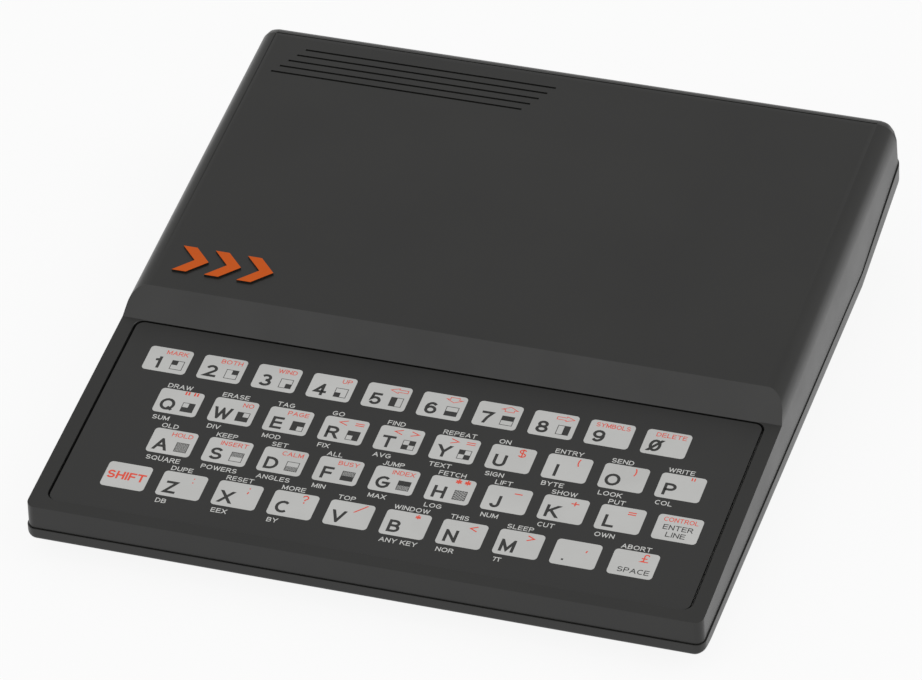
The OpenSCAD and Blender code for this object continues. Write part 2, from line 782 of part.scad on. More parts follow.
sink_x = [10, 74];
sink_front = -rear_y + 28;
sink_t = 1.5;
regulator_x = 52;
tab_len = 14;
module heat_sink() {
    color([0.8, 0.8, 0.82]) {
        translate([sink_x[0], sink_front, board_top])
            cube([sink_x[1] - sink_x[0], board_front - sink_front + 0.01, sink_t]);
        translate([regulator_x - 14, board_front, board_top]) cube([28, tab_len, sink_t]);
    }
}
module voltage_regulator() {
    z = board_top + sink_t;
    color([0.1, 0.1, 0.1]) {
        translate([regulator_x - 5.2, board_front + 1, z]) cube([10.4, 9, 4.5]);
        translate([regulator_x - 5.2, board_front - 6.5, z]) difference() {
            cube([10.4, 7.6, 1.3]);
            translate([5.2, 3, -OVER]) cylinder(h = 3 + OVER, d = 3.8);
        }
        for (i = [-1, 0, 1]) translate([regulator_x + i * 2.54 - 0.4, board_front + 9.5, z + 2.5]) {
            cube([0.8, 6.3, 0.5]);
            translate([0, 5.5, -sink_t - 2.5]) cube([0.8, 0.8, sink_t + 3]);
        }
    }
}

// ---- small parts on the board

// electrolytic capacitors as [x, y on the board, radius, height]
electrolytics = [[62, 77, 5, 13], [50, 77, 4, 11], [40, 77, 3, 8]];
// ceramic capacitors as [x, y on the board]
ceramics = [[-62, 14], [-53, 33], [4, 16], [66, 34], [1, 56], [-20, 86]];
module capacitors() {
    color([0.15, 0.3, 0.6]) for (c = electrolytics) on_board(c[0], c[1]) difference() {
        cylinder(h = c[3], r = c[2]);
        translate([0, 0, c[3] - 0.4]) cylinder(h = OVER, r = c[2] - 1);
    }
    color([0.8, 0.55, 0.25]) for (c = ceramics) on_board(c[0], c[1]) {
        translate([-3, -1, 1.5]) cube([6, 2, 5]);
        for (side = [-1, 1]) translate([side * 2, 0, 0]) cylinder(h = 2, d = 0.6, $fn = 16);
    }
}
// an axial part of length len and diameter d, lying along Y on its two bent leads
module axial(len, d) {
    lead = 0.6;
    reach = len / 2 + 1.8;
    z = d / 2 + 0.4;
    translate([0, len / 2, z]) rotate([90, 0, 0]) cylinder(h = len, d = d, $fn = 20);
    translate([0, reach, z]) rotate([90, 0, 0]) cylinder(h = 2 * reach, d = lead, $fn = 16);
    for (side = [-1, 1]) translate([0, side * reach, 0])
        cylinder(h = z + lead / 2, d = lead, $fn = 16);
}
axial_pitch = 4;
// rows of axial parts as [first x, y on the board, how many, length, diameter]
axial_rows = [
    [22, 62, 10, 6.2, 2.3],
    [-4, 83, 10, 6.2, 2.3],
    [-18, 72, 10, 3.6, 1.8],
    [11, 20, 6, 3.6, 1.8]
];
module resistors_and_diodes() {
    color([0.75, 0.6, 0.4]) for (row = axial_rows) for (i = [0 : row[2] - 1])
        on_board(row[0] + i * axial_pitch, row[1]) axial(row[3], row[4]);
}
module ceramic_resonator() {
    color([0.85, 0.6, 0.3]) on_board(-63, 23) {
        translate([-4, -1.6, 1]) cube([8, 3.2, 7]);
        for (side = [-1, 1]) translate([side * 2.5, 0, 0]) cylinder(h = 1.5, d = 0.7, $fn = 16);
    }
}

// ---- what is drawn

upper_case();
lower_case();
rubber_feet();
screws();
keyboard_overlay();
keyboard_spacer();
keyboard_circuit();
ribbon_connectors();
circuit_board();
ic_sockets();
processor_chip();
logic_array_chip();
memory_chips();
tv_modulator();
jack_sockets();
voltage_regulator();
heat_sink();
capacitors();
resistors_and_diodes();
ceramic_resonator();
for (row = [0 : ROWS - 1]) for (col = [0 : COLUMNS - 1])
    key_pad(row, col);
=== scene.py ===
"""A small wedge-shaped home computer with a flat forty-pad keyboard, around its fixed CAD frame."""
import math

import bmesh
import bpy
from mathutils import Matrix, Vector


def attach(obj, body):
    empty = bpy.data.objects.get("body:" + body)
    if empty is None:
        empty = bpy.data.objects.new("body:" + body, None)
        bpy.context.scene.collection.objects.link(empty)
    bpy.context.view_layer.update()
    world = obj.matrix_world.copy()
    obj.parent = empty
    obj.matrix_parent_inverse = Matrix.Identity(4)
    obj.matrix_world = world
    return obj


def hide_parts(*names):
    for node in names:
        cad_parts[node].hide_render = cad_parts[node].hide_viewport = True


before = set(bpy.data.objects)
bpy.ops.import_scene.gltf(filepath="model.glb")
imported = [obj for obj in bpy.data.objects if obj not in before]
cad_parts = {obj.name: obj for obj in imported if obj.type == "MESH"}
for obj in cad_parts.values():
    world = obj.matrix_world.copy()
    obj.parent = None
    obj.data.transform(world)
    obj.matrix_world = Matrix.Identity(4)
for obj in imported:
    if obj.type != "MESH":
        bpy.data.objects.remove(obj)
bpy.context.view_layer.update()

# ---- Table, camera and light
# The computer stands on a plain pale table that reads white, under two large soft boxes and
# a dim grey room. The camera stands well back with a long lens, off its front right corner.

camera = bpy.data.objects.new("camera", bpy.data.cameras.new("camera"))
bpy.context.collection.objects.link(camera)
camera.data.sensor_width = 36
camera.data.lens = 252.08
camera.data.clip_start = 0.1
camera.data.clip_end = 20
camera_right = Vector((0.949322, 0.311994, -0.038047))
camera_up = Vector((-0.156620, 0.574526, 0.803362))
camera_turn = Matrix((camera_right, camera_up, camera_right.cross(camera_up))).transposed()
camera.matrix_world = Matrix.Translation((0.422361, -1.182316, 0.944769)) @ camera_turn.to_4x4()
bpy.context.scene.camera = camera
bpy.context.scene.view_settings.view_transform = "Standard"


def seen_directly(nodes, links):
    """1 where the camera, a reflection or glass sees the surface, 0 where it only throws light."""
    path = nodes.new("ShaderNodeLightPath")
    total = path.outputs["Is Camera Ray"]
    for ray in ("Is Glossy Ray", "Is Transmission Ray"):
        add = nodes.new("ShaderNodeMath")
        add.use_clamp = True
        links.new(total, add.inputs[0])
        links.new(path.outputs[ray], add.inputs[1])
        total = add.outputs[0]
    return total


TABLE_WHITE = (0.8, 0.8, 0.8, 1)
TABLE_GLOW = 0.9     # how much of the seen table is plain white, the rest keeps the shadow
table_bm = bmesh.new()
bmesh.ops.create_grid(table_bm, x_segments=1, y_segments=1, size=9)
table = bpy.data.objects.new("table", bpy.data.meshes.new("table"))
table_bm.to_mesh(table.data)
table_bm.free()
bpy.context.collection.objects.link(table)
table_paint = bpy.data.materials.new("table_paint")
table_paint.use_nodes = True
nodes, links = table_paint.node_tree.nodes, table_paint.node_tree.links
nodes.clear()
matt = nodes.new("ShaderNodeBsdfDiffuse")
matt.inputs["Color"].default_value = TABLE_WHITE
glow = nodes.new("ShaderNodeEmission")
share = nodes.new("ShaderNodeMath")
share.operation = "MULTIPLY"
share.inputs[1].default_value = TABLE_GLOW
links.new(seen_directly(nodes, links), share.inputs[0])
blend = nodes.new("ShaderNodeMixShader")
links.new(share.outputs[0], blend.inputs[0])
links.new(matt.outputs[0], blend.inputs[1])
links.new(glow.outputs[0], blend.inputs[2])
links.new(blend.outputs[0], nodes.new("ShaderNodeOutputMaterial").inputs["Surface"])
table.data.materials.append(table_paint)

ROOM_GREY = (0.66, 0.66, 0.655, 1)
world = bpy.data.worlds.new("room")
bpy.context.scene.world = world
world.use_nodes = True
nodes, links = world.node_tree.nodes, world.node_tree.links
nodes.clear()
dim = nodes.new("ShaderNodeBackground")
dim.inputs["Color"].default_value = ROOM_GREY
white = nodes.new("ShaderNodeBackground")
blend = nodes.new("ShaderNodeMixShader")
links.new(nodes.new("ShaderNodeLightPath").outputs["Is Camera Ray"], blend.inputs[0])
links.new(dim.outputs[0], blend.inputs[1])
links.new(white.outputs[0], blend.inputs[2])
links.new(blend.outputs[0], nodes.new("ShaderNodeOutputWorld").inputs["Surface"])


def soft_box(name, place, aim, size, power):
    """A square lamp of that size in metres, shining from its place at a point."""
    lamp = bpy.data.lights.new(name, "AREA")
    lamp.shape = "SQUARE"
    lamp.size = size
    lamp.energy = power
    box = bpy.data.objects.new(name, lamp)
    bpy.context.collection.objects.link(box)
    place = Vector(place)
    turn = (Vector(aim) - place).to_track_quat("-Z", "Y").to_matrix().to_4x4()
    box.matrix_world = Matrix.Translation(place) @ turn


soft_box("front_box", (-0.45, -1.3, 1.45), (0, 0, 0.02), 1.2, 4.2)
soft_box("right_box", (1.6, 0.2, 1.6), (0, 0, 0.02), 1.2, 9)

# ---- Upper case
# The upper shell is injection moulded in black ABS with a fine matt grain. A flat deck with a
# recess carries the keyboard, and a steep band rises to the broad roof over the board. It is
# held from below by five screws in moulded bosses, and a lip under its edge fills the seam.

MM = 0.001
WALL = 2.0
FRONT_Y = -87.1
REAR_Y = 87.5
DECK_Z = 14.5
TILT = math.radians(6.6)
DECK_LEN = 67.5
HUMP_H = 5.78
BAND_SLOPE = math.radians(42.5)
DRAFT = math.radians(1.2)
HUMP_LEAN = math.radians(13)
DECK_HALF = 83.03     # half width of the shell at the deck's plane
REAR_RAKE = math.radians(5.5)
SIDE_EDGE_R, REAR_EDGE_R = 3.6, 4.5
REAR_R, FRONT_R = 3.5, 2.2        # the corners in plan
DECK = Matrix.Translation((0, FRONT_Y, DECK_Z)) @ Matrix.Rotation(TILT, 4, "X")
SEAM = [Vector((-REAR_Y, 8.2)), Vector((50, 17.6)), Vector((REAR_Y, 27.8))]
SEAM_GAPS = (0.06, 0.12, 0.2)     # the seam opens a little towards the back


def deck_point(y, z):
    """Y and Z on the table of a point y up the deck and z over it."""
    return (DECK @ Vector((0, y, z))).yz


def over_deck(y, z):
    """How far a point lies over the deck's plane."""
    return (DECK.inverted() @ Vector((0, y, z))).z


def meet(p, q, r, s):
    """Where the lines p-q and r-s meet."""
    d, e = q - p, s - r
    return p + d * ((r - p).cross(e) / d.cross(e))


def set_in(outline, depths):
    """An anticlockwise outline with each edge moved inwards by its depth."""
    moved = []
    for a, b, depth in zip(outline, outline[1:] + outline[:1], depths):
        inwards = Vector((a.y - b.y, b.x - a.x)).normalized() * depth
        moved.append((a + inwards, b + inwards))
    return [meet(*moved[i - 1], *moved[i]) for i in range(len(moved))]


def slab(outline, half):
    """An outline in Y and Z drawn out along X to both sides."""
    bm = bmesh.new()
    face = bm.faces.new([bm.verts.new((-half, y, z)) for y, z in outline])
    drawn = bmesh.ops.extrude_face_region(bm, geom=[face])
    new = [v for v in drawn["geom"] if isinstance(v, bmesh.types.BMVert)]
    bmesh.ops.translate(bm, verts=new, vec=(2 * half, 0, 0))
    bmesh.ops.recalc_face_normals(bm, faces=bm.faces)
    return bm


def block(bm, x, y, z):
    """Adds a box between two values of X, Y and Z."""
    low, high = Vector((x[0], y[0], z[0])), Vector((x[1], y[1], z[1]))
    place = Matrix.Translation((low + high) / 2) @ Matrix.Diagonal((high - low).to_4d())
    place[3][3] = 1
    bmesh.ops.create_cube(bm, size=1, matrix=place)


def rod(bm, centre, radius, length, axis="Z", segments=48, end=None):
    """Adds a round rod that starts at the centre and runs along +axis."""
    turn = Matrix.Rotation(math.radians(90), 4, "Y") if axis == "X" else Matrix.Identity(4)
    place = Matrix.Translation(centre) @ turn @ Matrix.Translation((0, 0, length / 2))
    bmesh.ops.create_cone(bm, cap_ends=True, segments=segments, radius1=radius,
                          radius2=radius if end is None else end, depth=length, matrix=place)


def carve(shape, tool, operation="DIFFERENCE"):
    """The shape with the tool cut out of it, or joined to it, as a new bmesh."""
    pair = []
    for bm in (shape, tool):
        mesh = bpy.data.meshes.new("carving")
        bm.to_mesh(mesh)
        bm.free()
        pair.append(bpy.data.objects.new("carving", mesh))
        bpy.context.collection.objects.link(pair[-1])
    cut = pair[0].modifiers.new("cut", "BOOLEAN")
    cut.object, cut.operation, cut.solver = pair[1], operation, "EXACT"
    mesh = bpy.data.meshes.new_from_object(pair[0].evaluated_get(bpy.context.evaluated_depsgraph_get()))
    out = bmesh.new()
    out.from_mesh(mesh)
    bpy.data.meshes.remove(mesh)
    for old in pair:
        data = old.data
        bpy.data.objects.remove(old)
        bpy.data.meshes.remove(data)
    return out


def round_edges(bm, edges, radius, segments):
    bmesh.ops.bevel(bm, geom=edges, offset=radius, offset_type="OFFSET", segments=segments,
                    profile=0.5, affect="EDGES", material=-1, clamp_overlap=False)


def level(bm, test):
    """The edges whose two ends both pass a test on their place."""
    return [e for e in bm.edges if all(test(v.co) for v in e.verts)]


upper_seam = [point + Vector((0, gap)) for point, gap in zip(SEAM, SEAM_GAPS)]
front_foot = meet(*upper_seam[:2], Vector((FRONT_Y, 0)), Vector((FRONT_Y, 1)))
rear_a = Vector((REAR_Y - 0.4, SEAM[2].y))
rear_b = rear_a + Vector((-math.sin(REAR_RAKE), math.cos(REAR_RAKE)))
UPPER_OUTLINE = [
    front_foot,
    upper_seam[1],
    meet(*upper_seam[1:], rear_a, rear_b),
    meet(deck_point(0, HUMP_H), deck_point(1, HUMP_H), rear_a, rear_b),
    deck_point(DECK_LEN + HUMP_H / math.tan(BAND_SLOPE), HUMP_H),
    deck_point(DECK_LEN, 0),
    Vector((FRONT_Y, DECK_Z)),
]
FOOT, KINK, REAR_FOOT, REAR_TOP, BAND_TOP, BAND_FOOT, DECK_FRONT, REAR_DECK = range(8)


def upper_form(wall, deck_wall, drop):
    """The upper shell's solid form, set in by a wall, its underside lowered by drop."""
    outline = set_in(UPPER_OUTLINE, [-drop, -drop, wall, wall, wall, deck_wall, wall])
    bm = slab(outline, 1)
    bmesh.ops.bisect_plane(bm, geom=bm.verts[:] + bm.edges[:] + bm.faces[:], dist=1e-4,
                           plane_co=DECK.translation, plane_no=DECK.to_3x3() @ Vector((0, 0, 1)))
    for v in bm.verts:
        height = over_deck(v.co.y, v.co.z)
        half = DECK_HALF - height * math.tan(HUMP_LEAN if height > 0 else DRAFT) - wall
        v.co.x = math.copysign(half, v.co.x)

    corners = outline + [meet(outline[REAR_FOOT], outline[REAR_TOP], deck_point(0, 0), deck_point(1, 0))]

    def between(a, b):
        """The edges that join two corners of the outline, or its two sides at one corner."""
        corner = lambda v: min(range(len(corners)), key=lambda i: (v.co.yz - corners[i]).length)
        return [e for e in bm.edges if {corner(v) for v in e.verts} == {a, b}]

    return finish_edges(bm, [
        (between(BAND_TOP, REAR_TOP), SIDE_EDGE_R - wall), (between(REAR_TOP, REAR_TOP), REAR_EDGE_R - wall),
        (between(REAR_FOOT, REAR_DECK) + between(REAR_DECK, REAR_TOP), REAR_R - wall),
        (between(FOOT, DECK_FRONT), FRONT_R - wall)], 12)


def finish_edges(bm, sizes, segments):
    """Rounds sets of edges, each by its own radius. An edge in two sets takes the first one's."""
    widest = max(radius for edges, radius in sizes)
    bm.edges.index_update()
    weights = [0.0] * len(bm.edges)
    for edges, radius in reversed(sizes):
        for e in edges:
            if e.calc_face_angle(0) > 0.2:
                weights[e.index] = radius / widest
    mesh = bpy.data.meshes.new("edges")
    bm.to_mesh(mesh)
    bm.free()
    mesh.attributes.new("bevel_weight_edge", "FLOAT", "EDGE").data.foreach_set("value", weights)
    body = bpy.data.objects.new("edges", mesh)
    bpy.context.collection.objects.link(body)
    bevel = body.modifiers.new("edges", "BEVEL")
    bevel.limit_method, bevel.width, bevel.segments = "WEIGHT", widest, segments
    bevel.offset_type, bevel.use_clamp_overlap = "OFFSET", False
    done = bpy.data.meshes.new_from_object(body.evaluated_get(bpy.context.evaluated_depsgraph_get()))
    out = bmesh.new()
    out.from_mesh(done)
    bpy.data.objects.remove(body)
    bpy.data.meshes.remove(mesh)
    bpy.data.meshes.remove(done)
    return out


def above_seam(v):
    """How far a point lies over the seam line."""
    a, b = (SEAM[0], SEAM[1]) if v.y < SEAM[1].x else (SEAM[1], SEAM[2])
    return v.z - a.y - (v.y - a.x) * (b.y - a.y) / (b.x - a.x)


DECK_EDGE_R, BAND_EDGE_R = 0.9, 0.4
KEYBOARD_DEPTH = 1.95
DECK_WALL = KEYBOARD_DEPTH + 1.5
LIP_IN, LIP_DROP = 1.15, 1.0
PLATE_X = (-77.5, -75.5)      # the port plate behind the socket bay
BAY_Y, BAY_Z = (12, 73), (9.6, 21.7)
LINER = 1.5
CASE_SCREWS = [(-66, -66), (50, -66), (-5, -30.4), (-62, 79), (62, 79)]
BOARD_SCREWS = [(-14, 42), (65, 39)]
OUT_X = -85
CARD_SLOT = (-28, 44), (75.5, 100)      # the slot for the board's edge, through the back
UPPER_BOSS_R, THREAD_HOLE_R = 3.5, 1.5

upper = upper_form(0, 0, 0)


def on_band(v):
    y, z = (DECK.inverted() @ v).yz
    return z > -0.01 and abs((y - DECK_LEN) * math.sin(BAND_SLOPE) - z * math.cos(BAND_SLOPE)) < 0.01


def on_deck(v):
    y, z = (DECK.inverted() @ v).yz
    return abs(z) < 0.01 and y < DECK_LEN + 0.01


upper = finish_edges(upper, [(level(upper, on_deck), DECK_EDGE_R), (level(upper, on_band), BAND_EDGE_R)], 4)

lip = upper_form(LIP_IN, DECK_WALL, SEAM_GAPS[2] + LIP_DROP)
no_lip = bmesh.new()
block(no_lip, (-100, 100), (-100, -75), (0, 60))
block(no_lip, (OUT_X, PLATE_X[1]), (BAY_Y[0] - 1.7, BAY_Y[1] + 1.7), (0, 60))
block(no_lip, *CARD_SLOT, (0, 60))
upper = carve(upper, carve(lip, no_lip), "UNION")

hollow = upper_form(WALL, DECK_WALL, 5)
kept = bmesh.new()
block(kept, (OUT_X, PLATE_X[1]), (BAY_Y[0] - LINER, BAY_Y[1] + LINER), (-5, BAY_Z[1] + LINER))
for x, y in CASE_SCREWS:
    rod(kept, (x, y, 6.2), UPPER_BOSS_R, 50)
for x, y in BOARD_SCREWS:
    rod(kept, (x, y, 9.7), UPPER_BOSS_R, 50)
upper = carve(upper, carve(hollow, kept))

holes = bmesh.new()
block(holes, (OUT_X, PLATE_X[1] + 0.2), BAY_Y, (-5, BAY_Z[1]))
for x, y in CASE_SCREWS:
    rod(holes, (x, y, 0), THREAD_HOLE_R, 12.4, segments=24)
for x, y in BOARD_SCREWS:
    rod(holes, (x, y, 0), THREAD_HOLE_R, 16.6, segments=24)
upper = carve(upper, holes)


def plate(x, y, z, radius, far_radius=None, segments=6):
    """A flat plate with rounded corners between two values of X, Y and Z."""
    bm = bmesh.new()
    corners = [(x[0], y[0]), (x[1], y[0]), (x[1], y[1]), (x[0], y[1])]
    corners = [bm.verts.new((*corner, z[0])) for corner in corners]
    bm.faces.new(corners)
    for pair, size in ((corners[:2], radius), (corners[2:], far_radius or radius)):
        bmesh.ops.bevel(bm, geom=pair, offset=size, offset_type="OFFSET", segments=segments,
                        profile=0.5, affect="VERTICES", material=-1, clamp_overlap=False)
    raised = bmesh.ops.extrude_face_region(bm, geom=bm.faces[:])
    new = [v for v in raised["geom"] if isinstance(v, bmesh.types.BMVert)]
    bmesh.ops.translate(bm, verts=new, vec=(0, 0, z[1] - z[0]))
    bmesh.ops.recalc_face_normals(bm, faces=bm.faces)
    return bm


def to_deck(bm):
    """Moves a shape from the deck's own frame to its place on the table."""
    bmesh.ops.transform(bm, matrix=DECK, verts=bm.verts)
    return bm


RECESS_X, RECESS_Y, RECESS_R = 79.3, (3.6, 67.4), 2.5
RECESS_CHAMFER = 0.1
recess = plate((-RECESS_X, RECESS_X), RECESS_Y, (-KEYBOARD_DEPTH, -RECESS_CHAMFER), RECESS_R)
for rise, spread in ((RECESS_CHAMFER, RECESS_CHAMFER), (5, 0)):
    lid = max(recess.faces, key=lambda f: f.calc_center_median().z)
    middle = lid.calc_center_bounds()
    size = Vector((RECESS_X, (RECESS_Y[1] - RECESS_Y[0]) / 2, 1))
    drawn = bmesh.ops.extrude_discrete_faces(recess, faces=[lid])["faces"][0]
    bmesh.ops.translate(recess, verts=drawn.verts, vec=(0, 0, rise))
    bmesh.ops.scale(recess, verts=drawn.verts, space=Matrix.Translation(-middle),
                    vec=(1 + spread / size.x, 1 + spread / size.y, 1))
upper = carve(upper, to_deck(recess))

fine = bmesh.new()
for middle, width in ((-50, 14.6), (-24, 21.6)):       # slots for the keyboard's two ribbons
    block(fine, (middle - width / 2, middle + width / 2), (62.7, 64.3), (-6, -1.5))
LINE_X, LINE_Y, LINE_DEPTH = (-74.9, -8.9), (155.9, 156.5), 0.35
for i in range(5):                                     # fine engraved lines on the roof
    across, back = 1.5 * i, 2.4 * i
    block(fine, [x + across for x in LINE_X], [y + back for y in LINE_Y],
          (HUMP_H - LINE_DEPTH, HUMP_H + 1))
upper = carve(upper, to_deck(fine))

CHEVRON = [(0, 0), (3.6, 0), (8.0, 4.4), (3.6, 8.8), (0, 8.8), (4.4, 4.4)]
BADGE_X, BADGE_Y, BADGE_PITCH = -74.1, 79.9, 8.35
FOIL_Z = (HUMP_H + 0.44, HUMP_H + 0.5)


def chevrons(low, high):
    """Three raised chevrons on the roof's front left."""
    bm = bmesh.new()
    for i in range(3):
        left = BADGE_X + BADGE_PITCH * i
        face = bm.faces.new([bm.verts.new((left + x, BADGE_Y + y, low)) for x, y in CHEVRON])
        raised = bmesh.ops.extrude_face_region(bm, geom=[face])
        new = [v for v in raised["geom"] if isinstance(v, bmesh.types.BMVert)]
        bmesh.ops.translate(bm, verts=new, vec=(0, 0, high - low))
    bmesh.ops.recalc_face_normals(bm, faces=bm.faces)
    return to_deck(bm)


upper = carve(upper, chevrons(HUMP_H - 0.5, FOIL_Z[0]), "UNION")


def piece(bm, name, body, material, replaces=(), crease=32):
    """Makes a finished piece from a bmesh in millimetres and hands it to the frame."""
    bmesh.ops.scale(bm, verts=bm.verts, vec=(MM, MM, MM))
    mesh = bpy.data.meshes.new(name)
    bm.to_mesh(mesh)
    bm.free()
    mesh.polygons.foreach_set("use_smooth", [True] * len(mesh.polygons))
    mesh.set_sharp_from_angle(angle=math.radians(crease))
    made = bpy.data.objects.new(name, mesh)
    bpy.context.collection.objects.link(made)
    made.data.materials.append(material)
    even = made.modifiers.new("normals", "WEIGHTED_NORMAL")
    even.keep_sharp = True
    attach(made, body)
    if replaces:
        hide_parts(*replaces)
    return made


def surface(name, dark, light, grain, rough, bump, patch=30, specular=0.5, metal=0.0):
    """A made surface: a colour that drifts slightly, a fine grain and an uneven sheen."""
    made = bpy.data.materials.new(name)
    made.use_nodes = True
    nodes, links = made.node_tree.nodes, made.node_tree.links
    shader = nodes["Principled BSDF"]
    shader.inputs["Specular IOR Level"].default_value = specular
    shader.inputs["Metallic"].default_value = metal
    place = nodes.new("ShaderNodeTexCoord").outputs["Object"]

    def noise(scale, detail):
        made = nodes.new("ShaderNodeTexNoise")
        made.inputs["Scale"].default_value = scale
        made.inputs["Detail"].default_value = detail
        links.new(place, made.inputs["Vector"])
        return made.outputs["Fac"]

    def spread(source, low, high):
        made = nodes.new("ShaderNodeMapRange")
        made.inputs["From Min"].default_value, made.inputs["From Max"].default_value = 0.3, 0.7
        made.inputs["To Min"].default_value, made.inputs["To Max"].default_value = low, high
        links.new(source, made.inputs["Value"])
        return made.outputs["Result"]

    drift = nodes.new("ShaderNodeMix")
    drift.data_type = "RGBA"
    drift.inputs["A"].default_value, drift.inputs["B"].default_value = (*dark, 1), (*light, 1)
    links.new(spread(noise(patch, 5), 0, 1), drift.inputs["Factor"])
    links.new(drift.outputs["Result"], shader.inputs["Base Color"])
    links.new(spread(noise(patch * 2.3, 6), *rough), shader.inputs["Roughness"])
    dent = nodes.new("ShaderNodeBump")
    dent.inputs["Distance"].default_value = bump * MM
    dent.inputs["Strength"].default_value = 1
    links.new(noise(1 / (grain * MM), 3), dent.inputs["Height"])
    links.new(dent.outputs["Normal"], shader.inputs["Normal"])
    return made


case_black = surface("case_black", (0.0085, 0.0085, 0.008), (0.0115, 0.0115, 0.0105),
                     0.35, (0.31, 0.36), 0.006)
piece(upper, "case_top", "root", case_black, ["upper_case"])

# ---- Badge on the roof
# Three raised chevrons are moulded with the roof, and their tops are hot-stamped with orange
# foil, so that their black sides show under it.

stamp_orange = surface("stamp_orange", (0.55, 0.080, 0.002), (0.61, 0.098, 0.003),
                       0.3, (0.4, 0.5), 0.004, specular=0.2)
piece(chevrons(*FOIL_Z), "badge_foil", "root", stamp_orange)

# ---- Keyboard under its overlay
# Under the overlay lie a plastic spacer with a window for each pad and a printed film circuit,
# all glued into the recess. Two tails of the film bend down to white sockets on the board.


def dress(node, material):
    """Gives a CAD node its finished material."""
    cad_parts[node].material_slots[0].material = material


dress("keyboard_spacer", surface("clear_film", (0.50, 0.50, 0.47), (0.58, 0.58, 0.55),
                                 1.2, (0.25, 0.4), 0.01))
dress("keyboard_circuit", surface("circuit_film", (0.42, 0.43, 0.42), (0.55, 0.56, 0.56),
                                  2.0, (0.2, 0.35), 0.01))
dress("ribbon_connectors", surface("socket_white", (0.60, 0.59, 0.54), (0.66, 0.65, 0.60),
                                   0.5, (0.4, 0.5), 0.01))

# ---- Keyboard overlay
# The overlay is a black polyester sheet, printed from behind and slightly glossier than the
# case. It lies a quarter of a millimetre down in the recess, with a thin dark gap round it.

PAD_W, PAD_D, PAD_R = 11.0, 8.3, 1.0
PAD_Z = (-0.85, -0.25)
PAD_GAP = 0.012
COLUMN, ROW = 13.9, 13.4
ROW_STARTS = [(x, 55.5 - ROW * i) for i, x in enumerate((-67.0, -59.5, -56.3, -63.0))]
KEYS = ["1234567890", "qwertyuiop", [*"asdfghjkl", "enter"], ["shift", *"zxcvbnm", "period", "space"]]
PADS = {name: (x + COLUMN * i, y) for (x, y), names in zip(ROW_STARTS, KEYS) for i, name in enumerate(names)}


def pad_plate(centre, grow, z):
    x, y = centre
    return plate((x - PAD_W / 2 - grow, x + PAD_W / 2 + grow), (y - PAD_D / 2 - grow, y + PAD_D / 2 + grow),
                 z, PAD_R + grow, segments=5)


def add(target, part):
    """Puts one bmesh into another."""
    mesh = bpy.data.meshes.new("part")
    part.to_mesh(mesh)
    part.free()
    target.from_mesh(mesh)
    bpy.data.meshes.remove(mesh)


OVERLAY_X, OVERLAY_Y, OVERLAY_R = (-78.7, 78.7), (3.7, 66.95), 2.0
overlay = plate(OVERLAY_X, OVERLAY_Y, (-0.95, PAD_Z[1]), OVERLAY_R)
windows = bmesh.new()
for centre in PADS.values():
    add(windows, pad_plate(centre, PAD_GAP, (-1.2, 0.2)))
overlay = carve(overlay, windows)
overlay_black = surface("overlay_black", (0.0125, 0.0125, 0.012), (0.0155, 0.0155, 0.015),
                        0.5, (0.36, 0.44), 0.004, 22)
piece(to_deck(overlay), "overlay_sheet", "root", overlay_black, ["keyboard_overlay"])

# ---- Key pads
# Forty pale grey pads are printed on the same sheet. Each gives by a third of a millimetre
# under a finger, so each one is its own thin plate that rides on its key.

pad_grey = surface("pad_grey", (0.53, 0.53, 0.52), (0.58, 0.58, 0.57), 0.3, (0.42, 0.52), 0.003, 60)
for name, centre in PADS.items():
    pad = pad_plate(centre, 0, PAD_Z)
    round_edges(pad, level(pad, lambda co: co.z > PAD_Z[1] - 0.01), 0.05, 2)
    piece(to_deck(pad), "pad_" + name, "key_" + name, pad_grey, ["key_" + name])

# ---- Print on the pads
# Each pad is screen printed: a bold dark letter, a small square of black or hatched quarters,
# and a thin red word, sign or arrow. The ink is a film that stands a hair proud.

INK = (-0.26, -0.235)
